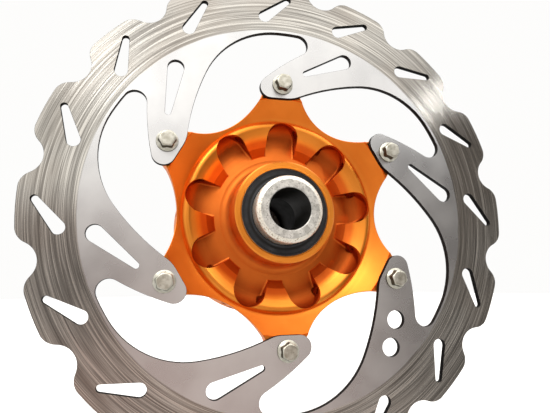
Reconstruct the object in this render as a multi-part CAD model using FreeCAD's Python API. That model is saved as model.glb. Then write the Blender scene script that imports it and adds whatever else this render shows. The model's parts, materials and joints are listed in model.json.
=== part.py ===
"""Front wheel brake disc bolted to its hub, with seals, bearings and collars.

Row frame, in millimetres: the axle lies along Y, the brake side faces -Y and Z is up.
The origin is on the axle's axis, in the plane where the disc meets the hub.

Each piece is drawn first in an axle frame whose Z axis points out of the brake side, so
that a height is a distance out from the disc's mounting plane. The last step turns it.
"""
import FreeCAD, Part

import math
import os

from FreeCAD import Placement, Rotation, Vector

# Driving dimensions: brake disc
DISC_RADIUS = 130.0
DISC_THICKNESS = 3.0
LOBES = 16
LOBE_VALLEY_RADIUS = 121.6
LOBE_VALLEY_ARC = 9.8
LOBE_CORNER_ARC = 8.4
RING_INNER_RADIUS = 101.8
SLOT_TIP = (122.1, -1.9, 1.8)
SLOT_HEEL = (111.5, 4.9, 3.4)
EDGE_BREAK = 0.12

# Driving dimensions: the disc's arms, in a frame whose x axis runs out through the bolt
ARMS = 6
FIRST_ARM_DEG = 30.0
BOLT_CIRCLE_RADIUS = 71.0
ARM_SWEEP_CENTRE = (-46.8, -57.2)
ARM_SWEEP_RADIUS = 121.3
ARM_ROOT_BLEND = 44.2
ARM_NOSE_X = 63.2
ARM_NOSE_BLEND = 15.0
ARM_NOSE_ARC = 6.1
ARM_NOSE_Y = 6.4
ARM_LEAD_RADIUS = 130.0
ARM_POCKET_ARC = 6.0
ARM_POCKET_DEG = -5.5
ARM_HOLE_HEEL = (95.3, -22.7, 4.3)
ARM_HOLE_TIP = (79.9, -9.8, 1.6)
ROUND_HOLE_ARM = 5
ROUND_HOLES = ((91.3, -21.7, 4.9), (83.2, -13.6, 4.9))

# Driving dimensions: bolts
BOLT_RADIUS = 3.0
BOLT_HOLE_RADIUS = 3.25
BOLT_FLANGE_RADIUS = 6.0
BOLT_FLANGE_EDGE = 0.8
BOLT_FLANGE_TOP = 1.7
BOLT_HEX_FLATS = 8.0
BOLT_HEAD_HEIGHT = 5.6
BOLT_TOP_LAND = 0.85
BOLT_DISH_DEPTH = 0.6
BOLT_SHANK = 12.5
BOLT_TIP_CHAMFER = 0.6

# Driving dimensions: bearings and what turns on them
AXLE_RADIUS = 11.0
BEARING_BORE_RADIUS = 15.0
BEARING_OUTER_RADIUS = 23.5
BEARING_WIDTH = 9.0
BALL_RADIUS = 2.5
BALL_CIRCLE_RADIUS = 19.25
BALLS = 14
RACE_LIP = 1.875
RACE_CHAMFER = 0.4
SHIELD_STEP = 0.7
SHIELD_SEAT = 0.9
SHIELD_SET_IN = 0.15
SHIELD_GAP = 0.12
CAGE_HALF_WALL = 0.9
CAGE_RIM = 0.7
CAGE_GAP = 0.05
RUNNING_GAP = 0.03
BEARING_TOP = -4.5
COLLAR_FACE = 14.25
COLLAR_RADIUS = 17.5
COLLAR_SPIGOT = 4.0
COLLAR_CHAMFER = (2.3, 1.0)
COLLAR_RELIEF = 0.7
COLLAR_BORE_CHAMFER = 0.4
SEAL_TOP = 3.3
SEAL_WIDTH = 7.0
SEAL_LEG = 1.3
SEAL_LIP = 1.4
SEAL_WEB = 5.0
SEAL_GROOVE = 0.7
SPRING_WIRE_RADIUS = 0.75
SPRING_HEIGHT = 1.7
TUBE_RADIUS = 17.0
HUB_CENTRE = -41.875

# Driving dimensions: hub
BOSS_FACE = 4.75
BOSS_RADIUS = 27.1
FLOOR_HEIGHT = -15.8
FLOOR_START = 35.4
FLOOR_SLOPE = -0.22
CREST_RADIUS = 50.0
VALLEY_RADIUS = 53.2
VALLEY_HEIGHT = -8.9
PAD_RADIUS = 64.0
STAR_THICKNESS = 9.0
STAR_TIP_ARC = 8.0
STAR_CORNER = (64.7, 11.2)
STAR_NOTCH_RADIUS = 55.7
BARREL_RADIUS = 55.2
BOSS_CHAMFER = 0.8
BOSS_ROOT_BLEND = 5.5
FACET_TOP = (39.9, -12.2)
FACET_END = (42.6, -10.3)
CREST_RISE = (46.0, -8.0)
CREST_SHOULDER = (49.6, -6.3)
CREST_FALL = (51.9, -6.7)
BARREL_FOOT = -20.0
WEB_OUTER = (50.0, -24.6)
WEB_INNER = (34.0, -25.6)
WEB_BLEND = (29.2, -27.6)
TUBE_START = (27.2, -32.4)
STAR_CONE = (58.2, -5.6)
STAR_BACK_START = 67.0
STAR_BACK_BLEND = (60.0, -11.2)
STAR_BACK_FOOT = (55.6, -15.0)
STAR_EDGE_BREAK = 0.35
TUBE_BORE_RADIUS = 20.5
MIDDLE_TUBE_RADIUS = 26.6
SCALLOPS = 9
FIRST_SCALLOP_DEG = 7.0
SCALLOP_HALF_WIDTH = 8.8
SCALLOP_END_RADIUS = 52.7
SCALLOP_BLEND = 1.2
SCALLOP_CURVE_START = 42.1
SCALLOP_CURVE = 9.0
SCALLOP_START = 5.0
SPOKE_RADIUS = 2.0
SPOKE_SEAT_RADIUS = 3.3
SPOKE_SEAT_DEPTH = 3.9
SPOKE_HOLE_LENGTH = 25.0
SPOKE_DIVE = -0.25
SPOKE_TURN_DEG = 55.0
NEAR_SPOKE = (46.3, -7.5, -10.6)
FAR_SPOKE = (44.2, 6.6, -13.9)

AXIS = Vector(0, 0, 1)
ORIGIN = Vector(0, 0, 0)


def polar(radius, degrees, height=0.0):
    """Point at a radius and an angle about the axle."""
    angle = math.radians(degrees)
    return Vector(radius * math.cos(angle), radius * math.sin(angle), height)


def turned(shape, degrees):
    """Copy of a shape turned about the axle."""
    copy = shape.copy()
    copy.rotate(ORIGIN, AXIS, degrees)
    return copy


def around(shape, count, first=0.0):
    """Copies of a shape, evenly spaced about the axle."""
    return [turned(shape, first + 360.0 * i / count) for i in range(count)]


def mirrored(shape):
    """The same shape on the hub's plain side."""
    return shape.mirror(Vector(0, 0, HUB_CENTRE), AXIS)


def line(start, end):
    return Part.LineSegment(start, end).toShape()


def arc(start, middle, end):
    return Part.Arc(start, middle, end).toShape()


def arc_about(centre, start, end, clockwise=False):
    """Arc from start to end about a centre."""
    radius = start.distanceToPoint(centre)
    first = math.atan2(start.y - centre.y, start.x - centre.x)
    last = math.atan2(end.y - centre.y, end.x - centre.x)
    if clockwise and last > first:
        last -= 2 * math.pi
    if not clockwise and last < first:
        last += 2 * math.pi
    middle = (first + last) / 2
    through = centre + Vector(radius * math.cos(middle), radius * math.sin(middle), 0)
    return arc(start, through, end)


def along(start, towards, distance):
    """Point at a distance from start, towards another point."""
    return start + (towards - start).normalize() * distance


def circles_meet(centre_a, radius_a, centre_b, radius_b, side):
    """Where two circles cross; side is 1 or -1 for the left or right of the line from a to b."""
    gap = centre_b - centre_a
    reach = (radius_a ** 2 - radius_b ** 2 + gap.Length ** 2) / (2 * gap.Length)
    height = math.sqrt(radius_a ** 2 - reach ** 2)
    ahead = Vector(gap).normalize()
    left = Vector(-ahead.y, ahead.x, 0)
    return centre_a + ahead * reach + left * height * side


def ring(points):
    """Solid of revolution about the axle; points are (radius, height) corners of its section."""
    corners = [Vector(radius, 0, height) for radius, height in points]
    section = Part.Face(Part.makePolygon(corners + corners[:1]))
    return section.revolve(ORIGIN, AXIS, 360)


def ring_of_edges(edges):
    """Solid of revolution about the axle of a section made of edges in order."""
    return Part.Face(Part.Wire(edges)).revolve(ORIGIN, AXIS, 360)


def prism(edges, low, high):
    """Upright solid between two heights over an outline at height 0."""
    wire = Part.Wire(Part.sortEdges(edges)[0])
    wire.translate(Vector(0, 0, low))
    return Part.Face(wire).extrude(Vector(0, 0, high - low))


def teardrop(heel, tip, low, high):
    """Upright solid over a large and a small circle and the tangents that join them."""
    heel_centre = polar(heel[0], heel[1])
    tip_centre = polar(tip[0], tip[1])
    ahead = (tip_centre - heel_centre).normalize()
    left = Vector(-ahead.y, ahead.x, 0)
    lean = (heel[2] - tip[2]) / heel_centre.distanceToPoint(tip_centre)
    spread = math.sqrt(1 - lean ** 2)
    offsets = [ahead * lean + left * spread * side for side in (1, -1)]
    heel_ends = [heel_centre + offset * heel[2] for offset in offsets]
    tip_ends = [tip_centre + offset * tip[2] for offset in offsets]
    edges = [
        arc(heel_ends[0], heel_centre - ahead * heel[2], heel_ends[1]),
        line(heel_ends[1], tip_ends[1]),
        arc(tip_ends[1], tip_centre + ahead * tip[2], tip_ends[0]),
        line(tip_ends[0], heel_ends[0]),
    ]
    return prism(edges, low, high)


# ---------------------------------------------------------------- brake disc

def lobed_outline():
    """Outer edge of the disc: flat-topped lobes with round corners and round valleys."""
    pitch = 360.0 / LOBES
    valley_centre = LOBE_VALLEY_RADIUS + LOBE_VALLEY_ARC
    corner_centre = DISC_RADIUS - LOBE_CORNER_ARC
    reach = LOBE_VALLEY_ARC + LOBE_CORNER_ARC
    swing = (valley_centre ** 2 + corner_centre ** 2 - reach ** 2) / (2 * valley_centre * corner_centre)
    flat_half = pitch / 2 - math.degrees(math.acos(swing))
    edges = []
    for i in range(LOBES):
        middle = i * pitch
        valley = polar(valley_centre, middle + pitch / 2)
        corners = [polar(corner_centre, middle + angle) for angle in (flat_half, pitch - flat_half)]
        joins = [along(valley, corner, LOBE_VALLEY_ARC) for corner in corners]
        tops = [polar(DISC_RADIUS, middle + angle) for angle in (-flat_half, flat_half, pitch - flat_half)]
        edges.append(arc(tops[0], polar(DISC_RADIUS, middle), tops[1]))
        edges.append(arc_about(corners[0], tops[1], joins[0]))
        edges.append(arc_about(valley, joins[0], joins[1], clockwise=True))
        edges.append(arc_about(corners[1], joins[1], tops[2]))
    return edges


def arm_edges():
    """Inner edge of the disc along one arm, and where it leaves and rejoins the ring."""
    sweep = Vector(ARM_SWEEP_CENTRE[0], ARM_SWEEP_CENTRE[1], 0)
    root = circles_meet(
        ORIGIN, RING_INNER_RADIUS - ARM_ROOT_BLEND, sweep, ARM_SWEEP_RADIUS - ARM_ROOT_BLEND, 1
    )
    root_on_ring = along(ORIGIN, root, RING_INNER_RADIUS)
    root_on_sweep = along(sweep, root, ARM_SWEEP_RADIUS)

    blend_x = ARM_NOSE_X + ARM_NOSE_BLEND
    blend_rise = math.sqrt((ARM_SWEEP_RADIUS + ARM_NOSE_BLEND) ** 2 - (blend_x - sweep.x) ** 2)
    blend = Vector(blend_x, sweep.y + blend_rise, 0)
    blend_on_sweep = along(sweep, blend, ARM_SWEEP_RADIUS)
    blend_on_nose = Vector(ARM_NOSE_X, blend.y, 0)

    nose = Vector(ARM_NOSE_X + ARM_NOSE_ARC, ARM_NOSE_Y, 0)
    nose_start = Vector(ARM_NOSE_X, ARM_NOSE_Y, 0)
    pocket = polar(RING_INNER_RADIUS - ARM_POCKET_ARC, ARM_POCKET_DEG)
    lead = circles_meet(
        nose, ARM_LEAD_RADIUS - ARM_NOSE_ARC, pocket, ARM_LEAD_RADIUS + ARM_POCKET_ARC, -1
    )
    nose_end = along(lead, nose, ARM_LEAD_RADIUS)
    lead_end = along(lead, pocket, ARM_LEAD_RADIUS)
    pocket_end = along(ORIGIN, pocket, RING_INNER_RADIUS)

    edges = [
        arc_about(root, root_on_ring, root_on_sweep),
        arc_about(sweep, root_on_sweep, blend_on_sweep),
        arc_about(blend, blend_on_sweep, blend_on_nose, clockwise=True),
        line(blend_on_nose, nose_start),
        arc_about(nose, nose_start, nose_end, clockwise=True),
        arc_about(lead, nose_end, lead_end, clockwise=True),
        arc_about(pocket, lead_end, pocket_end),
    ]
    return edges, root_on_ring, pocket_end


def arms_outline():
    """The whole inner edge of the disc, along all six arms."""
    edges, leaves, rejoins = arm_edges()
    next_leaves = Rotation(AXIS, 360.0 / ARMS).multVec(leaves)
    edges.append(arc_about(ORIGIN, rejoins, next_leaves))
    outline = []
    for i in range(ARMS):
        outline += [turned(edge, FIRST_ARM_DEG + 360.0 * i / ARMS) for edge in edges]
    return outline


def brake_disc():
    low = -1.0
    high = DISC_THICKNESS + 1.0
    blank = prism(lobed_outline(), 0.0, DISC_THICKNESS)
    cuts = [prism(arms_outline(), low, high)]
    cuts += around(teardrop(SLOT_HEEL, SLOT_TIP, low, high), LOBES)
    arm_hole = teardrop(ARM_HOLE_HEEL, ARM_HOLE_TIP, low, high)
    for i, hole in enumerate(around(arm_hole, ARMS, FIRST_ARM_DEG)):
        if i != ROUND_HOLE_ARM:
            cuts.append(hole)
    turn = FIRST_ARM_DEG + 360.0 * ROUND_HOLE_ARM / ARMS
    for radius, degrees, hole_radius in ROUND_HOLES:
        centre = polar(radius, degrees + turn, low)
        cuts.append(Part.makeCylinder(hole_radius, high - low, centre))
    bolt_hole = Part.makeCylinder(BOLT_HOLE_RADIUS, high - low, Vector(BOLT_CIRCLE_RADIUS, 0, low))
    cuts += around(bolt_hole, ARMS, FIRST_ARM_DEG)
    disc = blank.cut(cuts)
    rims = [edge for edge in disc.Edges if is_flat_edge(edge)]
    return disc.makeChamfer(EDGE_BREAK, rims)


def is_flat_edge(edge):
    """True for an edge that lies in a face of the disc, not across its thickness."""
    box = edge.BoundBox
    return box.ZLength < 0.01


# ---------------------------------------------------------------- bolts

def disc_bolt():
    """M6 flanged hexagon bolt, standing on the disc's outer face at the bolt circle."""
    base = DISC_THICKNESS
    tip = base - BOLT_SHANK
    hex_radius = BOLT_HEX_FLATS / math.sqrt(3)
    body = ring([
        (0, tip),
        (BOLT_RADIUS - BOLT_TIP_CHAMFER, tip),
        (BOLT_RADIUS, tip + BOLT_TIP_CHAMFER),
        (BOLT_RADIUS, base),
        (BOLT_FLANGE_RADIUS - 0.2, base),
        (BOLT_FLANGE_RADIUS, base + 0.2),
        (BOLT_FLANGE_RADIUS, base + BOLT_FLANGE_EDGE),
        (BOLT_HEX_FLATS / 2, base + BOLT_FLANGE_TOP),
        (0, base + BOLT_FLANGE_TOP),
    ])
    corners = [polar(hex_radius, 60.0 * i, base + BOLT_FLANGE_EDGE) for i in range(6)]
    hexagon = Part.Face(Part.makePolygon(corners + corners[:1]))
    hexagon = hexagon.extrude(Vector(0, 0, BOLT_HEAD_HEIGHT - BOLT_FLANGE_EDGE))
    top = base + BOLT_HEAD_HEIGHT
    clear = hex_radius + 0.5
    land_out = BOLT_HEX_FLATS / 2 - 0.25
    land_in = land_out - BOLT_TOP_LAND
    crown = ring([
        (0, base),
        (clear, base),
        (clear, top - 1.0),
        (land_out, top),
        (land_in, top),
        (land_in - BOLT_DISH_DEPTH, top - BOLT_DISH_DEPTH),
        (0, top - BOLT_DISH_DEPTH),
    ])
    bolt = body.fuse(hexagon.common(crown)).removeSplitter()
    bolt.translate(Vector(BOLT_CIRCLE_RADIUS, 0, 0))
    return bolt


# ---------------------------------------------------------------- bearing, seal and spacers

def raceway():
    """The torus that the balls run in, with the running gap around them."""
    centre = Vector(0, 0, bearing_middle())
    return Part.makeTorus(BALL_CIRCLE_RADIUS, BALL_RADIUS + RUNNING_GAP, centre, AXIS)


def bearing_middle():
    return BEARING_TOP - BEARING_WIDTH / 2


def outer_race():
    low = BEARING_TOP - BEARING_WIDTH
    lip = BALL_CIRCLE_RADIUS + RACE_LIP
    step = lip + SHIELD_STEP
    shape = ring([
        (lip, low + SHIELD_SEAT),
        (step, low + SHIELD_SEAT),
        (step, low),
        (BEARING_OUTER_RADIUS - RACE_CHAMFER, low),
        (BEARING_OUTER_RADIUS, low + RACE_CHAMFER),
        (BEARING_OUTER_RADIUS, BEARING_TOP - RACE_CHAMFER),
        (BEARING_OUTER_RADIUS - RACE_CHAMFER, BEARING_TOP),
        (step, BEARING_TOP),
        (step, BEARING_TOP - SHIELD_SEAT),
        (lip, BEARING_TOP - SHIELD_SEAT),
    ])
    return shape.cut(raceway())


def inner_race():
    low = BEARING_TOP - BEARING_WIDTH
    lip = BALL_CIRCLE_RADIUS - RACE_LIP
    shape = ring([
        (BEARING_BORE_RADIUS, low + RACE_CHAMFER),
        (BEARING_BORE_RADIUS + RACE_CHAMFER, low),
        (lip, low),
        (lip, BEARING_TOP),
        (BEARING_BORE_RADIUS + RACE_CHAMFER, BEARING_TOP),
        (BEARING_BORE_RADIUS, BEARING_TOP - RACE_CHAMFER),
    ])
    return shape.cut(raceway())


def balls():
    ball = Part.makeSphere(BALL_RADIUS, Vector(BALL_CIRCLE_RADIUS, 0, bearing_middle()))
    return Part.makeCompound(around(ball, BALLS))


def ball_cage():
    half_width = BALL_RADIUS + CAGE_RIM
    middle = bearing_middle()
    inner = BALL_CIRCLE_RADIUS - CAGE_HALF_WALL
    outer = BALL_CIRCLE_RADIUS + CAGE_HALF_WALL
    body = ring([
        (inner, middle - half_width),
        (outer, middle - half_width),
        (outer, middle + half_width),
        (inner, middle + half_width),
    ])
    outward = Vector(1, 0, 0)
    start = Vector(inner - BALL_RADIUS, 0, middle)
    pocket = Part.makeCylinder(BALL_RADIUS + CAGE_GAP, outer, start, outward)
    return body.cut(around(pocket, BALLS))


def shield(face, inward):
    """Rubber shield of the bearing, in the outer race's step, set in from the given face."""
    inner = BALL_CIRCLE_RADIUS - RACE_LIP + SHIELD_GAP
    outer = BALL_CIRCLE_RADIUS + RACE_LIP + SHIELD_STEP
    near = face + inward * SHIELD_SET_IN
    far = face + inward * SHIELD_SEAT
    low = min(near, far)
    high = max(near, far)
    lead_in = 0.25
    return ring([
        (inner, low),
        (outer, low),
        (outer, high),
        (inner + lead_in, high),
        (inner, high - lead_in),
    ])


def seal():
    """Shaft seal: a pressed-in leg, a web, a sealing lip and a dust lip on the collar."""
    low = SEAL_TOP - SEAL_WIDTH
    lip = COLLAR_RADIUS + RUNNING_GAP
    outer = BEARING_OUTER_RADIUS
    return ring([
        (outer - SEAL_LEG, low),
        (outer, low),
        (outer, SEAL_TOP - 0.4),
        (outer - 0.4, SEAL_TOP),
        (outer - 1.2, SEAL_TOP),
        (outer - 1.6, SEAL_TOP - 0.35),
        (lip + 1.5, SEAL_TOP - 0.5),
        (lip + 0.5, SEAL_TOP - 0.1),
        (lip, SEAL_TOP - 0.5),
        (lip + SEAL_GROOVE, SEAL_TOP - 1.8),
        (lip + SEAL_GROOVE, low + 3.0),
        (lip, low + 2.0),
        (lip + 0.5, low + 0.4),
        (lip + SEAL_LIP, low + 0.4),
        (lip + SEAL_LIP, low + SEAL_WEB),
        (outer - SEAL_LEG, low + SEAL_WEB),
    ])


def seal_spring():
    """Garter spring around the sealing lip, as a plain ring."""
    clearance = 0.02
    radius = COLLAR_RADIUS + RUNNING_GAP + SEAL_LIP + clearance + SPRING_WIRE_RADIUS
    height = SEAL_TOP - SEAL_WIDTH + SPRING_HEIGHT
    return Part.makeTorus(radius, SPRING_WIRE_RADIUS, Vector(0, 0, height), AXIS)


def collar():
    """Steel wheel collar: seal track outside, spigot through the bearing, axle bore."""
    shoulder = BEARING_TOP
    tip = BEARING_TOP - BEARING_WIDTH - COLLAR_SPIGOT
    lead_in = 0.5
    across, down = COLLAR_CHAMFER
    return ring([
        (AXLE_RADIUS + lead_in, tip),
        (BEARING_BORE_RADIUS - lead_in, tip),
        (BEARING_BORE_RADIUS, tip + lead_in),
        (BEARING_BORE_RADIUS, shoulder),
        (COLLAR_RADIUS - COLLAR_RELIEF, shoulder),
        (COLLAR_RADIUS - COLLAR_RELIEF, shoulder + 0.6),
        (COLLAR_RADIUS, shoulder + 1.0),
        (COLLAR_RADIUS, COLLAR_FACE - down - COLLAR_RELIEF),
        (COLLAR_RADIUS - lead_in, COLLAR_FACE - down),
        (COLLAR_RADIUS - across, COLLAR_FACE),
        (AXLE_RADIUS + COLLAR_BORE_CHAMFER, COLLAR_FACE),
        (AXLE_RADIUS, COLLAR_FACE - COLLAR_BORE_CHAMFER),
        (AXLE_RADIUS, tip + lead_in),
    ])


def distance_tube():
    """Tube that holds the two inner races apart."""
    top = BEARING_TOP - BEARING_WIDTH
    low = 2 * HUB_CENTRE - top
    inner = BEARING_BORE_RADIUS
    chamfer = 0.3
    return ring([
        (inner + chamfer, low),
        (TUBE_RADIUS - chamfer, low),
        (TUBE_RADIUS, low + chamfer),
        (TUBE_RADIUS, top - chamfer),
        (TUBE_RADIUS - chamfer, top),
        (inner + chamfer, top),
        (inner, top - chamfer),
        (inner, low + chamfer),
    ])


# ---------------------------------------------------------------- hub

def at(radius, height):
    """Point of a section through the axle."""
    return Vector(radius, 0, height)


def floor_height(radius):
    return FLOOR_HEIGHT + (radius - FLOOR_START) * FLOOR_SLOPE


def spoke_flange():
    """The end of the hub that holds a bearing, a seal and one side's spokes.

    Its section runs up the bearing's seat, over the boss, along the recess floor, up the
    facet to the rounded crest, down the barrel and back along the web to the middle tube.
    """
    step = BEARING_TOP - BEARING_WIDTH
    seat = BEARING_OUTER_RADIUS
    chamfer = BOSS_CHAMFER
    floor_in = BOSS_RADIUS + BOSS_ROOT_BLEND
    fillet_top = floor_height(floor_in) + BOSS_ROOT_BLEND
    valley = at(VALLEY_RADIUS, VALLEY_HEIGHT)
    barrel_foot = at(BARREL_RADIUS - 1.4, BARREL_FOOT)
    edges = [
        line(at(seat, step), at(seat, BOSS_FACE - chamfer)),
        line(at(seat, BOSS_FACE - chamfer), at(seat + chamfer, BOSS_FACE)),
        line(at(seat + chamfer, BOSS_FACE), at(BOSS_RADIUS - chamfer, BOSS_FACE)),
        line(at(BOSS_RADIUS - chamfer, BOSS_FACE), at(BOSS_RADIUS, BOSS_FACE - chamfer)),
        line(at(BOSS_RADIUS, BOSS_FACE - chamfer), at(BOSS_RADIUS, fillet_top)),
        arc(
            at(BOSS_RADIUS, fillet_top),
            at(BOSS_RADIUS + 1.4, floor_height(floor_in) + 1.5),
            at(floor_in, floor_height(floor_in)),
        ),
        line(at(floor_in, floor_height(floor_in)), at(FLOOR_START, FLOOR_HEIGHT)),
        line(at(FLOOR_START, FLOOR_HEIGHT), at(*FACET_TOP)),
        line(at(*FACET_TOP), at(*FACET_END)),
        arc(at(*FACET_END), at(*CREST_RISE), at(*CREST_SHOULDER)),
        arc(at(*CREST_SHOULDER), at(*CREST_FALL), valley),
        line(valley, at(BARREL_RADIUS, VALLEY_HEIGHT + 0.6)),
        line(at(BARREL_RADIUS, VALLEY_HEIGHT + 0.6), barrel_foot),
        arc(barrel_foot, at(BARREL_RADIUS - 3.0, BARREL_FOOT - 3.4), at(*WEB_OUTER)),
        line(at(*WEB_OUTER), at(*WEB_INNER)),
        arc(at(*WEB_INNER), at(*WEB_BLEND), at(*TUBE_START)),
        line(at(*TUBE_START), at(MIDDLE_TUBE_RADIUS, HUB_CENTRE)),
        line(at(MIDDLE_TUBE_RADIUS, HUB_CENTRE), at(TUBE_BORE_RADIUS, HUB_CENTRE)),
        line(at(TUBE_BORE_RADIUS, HUB_CENTRE), at(TUBE_BORE_RADIUS, step)),
        line(at(TUBE_BORE_RADIUS, step), at(seat, step)),
    ]
    return ring_of_edges(edges)


def star_outline():
    """Outline of the six-armed star that the disc is bolted to."""
    corner = Vector(STAR_CORNER[0], STAR_CORNER[1], 0)
    other_corner = Vector(corner.x, -corner.y, 0)
    bolt = Vector(BOLT_CIRCLE_RADIUS, 0, 0)
    reach = corner.distanceToPoint(bolt)
    lean = math.degrees(math.acos(STAR_TIP_ARC / reach))
    towards = math.degrees(math.atan2(corner.y, corner.x - bolt.x))
    tip_turn = math.radians(towards - lean)
    tip = bolt + Vector(math.cos(tip_turn), math.sin(tip_turn), 0) * STAR_TIP_ARC
    other_tip = Vector(tip.x, -tip.y, 0)
    notch = polar(STAR_NOTCH_RADIUS, 180.0 / ARMS)
    next_corner = Rotation(AXIS, 360.0 / ARMS).multVec(other_corner)
    arm = [
        line(other_corner, other_tip),
        arc(other_tip, bolt + Vector(STAR_TIP_ARC, 0, 0), tip),
        line(tip, corner),
        arc(corner, notch, next_corner),
    ]
    outline = []
    for i in range(ARMS):
        outline += [turned(edge, FIRST_ARM_DEG + 360.0 * i / ARMS) for edge in arm]
    return outline


def star_flange():
    """Dished star: flat pads for the disc, a cone down to the valley, a parallel back."""
    tip_radius = BOLT_CIRCLE_RADIUS + STAR_TIP_ARC + 1.0
    root = CREST_RADIUS + 1.0
    back_start = at(STAR_BACK_START, -STAR_THICKNESS)
    edges = [
        line(at(root, BARREL_FOOT), at(root, VALLEY_HEIGHT - 0.6)),
        line(at(root, VALLEY_HEIGHT - 0.6), at(VALLEY_RADIUS, VALLEY_HEIGHT)),
        arc(at(VALLEY_RADIUS, VALLEY_HEIGHT), at(*STAR_CONE), at(PAD_RADIUS, -0.7)),
        line(at(PAD_RADIUS, -0.7), at(PAD_RADIUS + 0.3, 0.0)),
        line(at(PAD_RADIUS + 0.3, 0.0), at(tip_radius, 0.0)),
        line(at(tip_radius, 0.0), at(tip_radius, -STAR_THICKNESS)),
        line(at(tip_radius, -STAR_THICKNESS), back_start),
        arc(back_start, at(*STAR_BACK_BLEND), at(*STAR_BACK_FOOT)),
        line(at(*STAR_BACK_FOOT), at(root, BARREL_FOOT)),
    ]
    star = ring_of_edges(edges).common(prism(star_outline(), -30.0, 10.0))
    return star.makeChamfer(STAR_EDGE_BREAK, brim_edges(star, VALLEY_RADIUS + 1.0))


def is_upright(face):
    """True for a face whose surface stands parallel to the axle."""
    u_low, u_high, v_low, v_high = face.ParameterRange
    samples = [(0.5, 0.5), (0.3, 0.3)]
    normals = [face.normalAt(u_low + (u_high - u_low) * u, v_low + (v_high - v_low) * v) for u, v in samples]
    return all(abs(normal.z) < 1e-4 for normal in normals)


def brim_edges(shape, inner_radius):
    """Edges beyond a radius where an upright face meets one that isn't."""
    edges = []
    for edge in shape.Edges:
        faces = shape.ancestorsOfType(edge, Part.Face)
        middle = edge.valueAt((edge.FirstParameter + edge.LastParameter) / 2)
        if len(faces) == 2 and math.hypot(middle.x, middle.y) > inner_radius:
            if is_upright(faces[0]) != is_upright(faces[1]):
                edges.append(edge)
    return edges


def scallop():
    """Round-ended pocket in the end of the hub, open towards the boss, for two spoke heads."""
    end = Vector(SCALLOP_END_RADIUS - SCALLOP_HALF_WIDTH, 0, 0)
    start_x = BOSS_RADIUS + SCALLOP_START
    left = Vector(0, SCALLOP_HALF_WIDTH, 0)
    foot = Vector(start_x, 0, 0)
    edges = [
        line(foot - left, end - left),
        arc(end - left, Vector(SCALLOP_END_RADIUS, 0, 0), end + left),
        line(end + left, foot + left),
        line(foot + left, foot - left),
    ]
    top = 4.0
    pocket = prism(edges, -30.0, top + 1.0)
    inner = BOSS_RADIUS
    lean = math.atan(FLOOR_SLOPE)
    curve_start = at(SCALLOP_CURVE_START, floor_height(SCALLOP_CURVE_START))
    centre = curve_start + Vector(-math.sin(lean), 0, math.cos(lean)) * SCALLOP_CURVE
    curve_middle = centre + Vector(1, 0, -1).normalize() * SCALLOP_CURVE
    curve_end = centre + Vector(SCALLOP_CURVE, 0, 0)
    above = ring_of_edges([
        line(at(inner, floor_height(inner)), curve_start),
        arc(curve_start, curve_middle, curve_end),
        line(curve_end, at(curve_end.x, top)),
        line(at(curve_end.x, top), at(inner, top)),
        line(at(inner, top), at(inner, floor_height(inner))),
    ])
    pocket = pocket.common(above)
    low_edges = []
    for edge in pocket.Edges:
        middle = edge.valueAt((edge.FirstParameter + edge.LastParameter) / 2)
        on_floor = abs(middle.z - floor_height(math.hypot(middle.x, middle.y))) < 0.01
        if on_floor and middle.x > start_x + 0.5:
            low_edges.append(edge)
    return pocket.makeFillet(SCALLOP_BLEND, low_edges)


def spoke_hole(seat, side):
    """Hole for one spoke, with a seat for its head; side is 1 or -1, the way it turns."""
    turn = math.radians(SPOKE_TURN_DEG) * side
    way = Vector(math.cos(turn), math.sin(turn), SPOKE_DIVE).normalize()
    head = Vector(seat[0], seat[1], seat[2])
    hole = Part.makeCylinder(SPOKE_RADIUS, SPOKE_HOLE_LENGTH, head, way)
    head_seat = Part.makeCylinder(SPOKE_SEAT_RADIUS, SPOKE_SEAT_DEPTH, head, way)
    return hole.fuse(head_seat)


def spoke_pockets(first):
    """All the scallops of one side with their spoke holes."""
    cuts = around(scallop(), SCALLOPS, first)
    cuts += around(spoke_hole(NEAR_SPOKE, -1), SCALLOPS, first)
    cuts += around(spoke_hole(FAR_SPOKE, 1), SCALLOPS, first)
    return cuts


def hub_shell():
    flange = spoke_flange()
    brake_end = flange.fuse(star_flange()).cut(spoke_pockets(FIRST_SCALLOP_DEG))
    start = Vector(BOLT_CIRCLE_RADIUS, 0, -2 * STAR_THICKNESS)
    thread = Part.makeCylinder(BOLT_RADIUS, 3 * STAR_THICKNESS, start)
    brake_end = brake_end.cut(around(thread, ARMS, FIRST_ARM_DEG))
    half_pitch = 180.0 / SCALLOPS
    plain_end = mirrored(flange.cut(spoke_pockets(FIRST_SCALLOP_DEG + half_pitch)))
    return brake_end.fuse(plain_end).removeSplitter()


# ---------------------------------------------------------------- export

def export(shape, name):
    """Turn a piece into the row frame and write its STEP file."""
    piece = shape.copy()
    piece.Placement = Placement(Vector(0, 0, 0), Rotation(Vector(1, 0, 0), 90)).multiply(piece.Placement)
    piece.exportStep("parts/" + name + ".step")
    print(name, len(piece.Solids), "solids", round(piece.Volume, 1), "mm3 valid", piece.isValid())


def main():
    os.makedirs("parts", exist_ok=True)
    export(brake_disc(), "brake_disc")
    for i, bolt in enumerate(around(disc_bolt(), ARMS, FIRST_ARM_DEG)):
        export(bolt, "disc_bolt_" + str(i + 1))
    export(hub_shell(), "hub_shell")
    export(distance_tube(), "distance_tube")
    pieces = {
        "collar": collar(),
        "seal": seal(),
        "seal_spring": seal_spring(),
        "outer_race": outer_race(),
        "inner_race": inner_race(),
        "balls": balls(),
        "ball_cage": ball_cage(),
        "outer_shield": shield(BEARING_TOP, -1),
        "inner_shield": shield(BEARING_TOP - BEARING_WIDTH, 1),
    }
    for name, shape in pieces.items():
        export(shape, "brake_side_" + name)
        export(mirrored(shape), "plain_side_" + name)


main()
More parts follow.
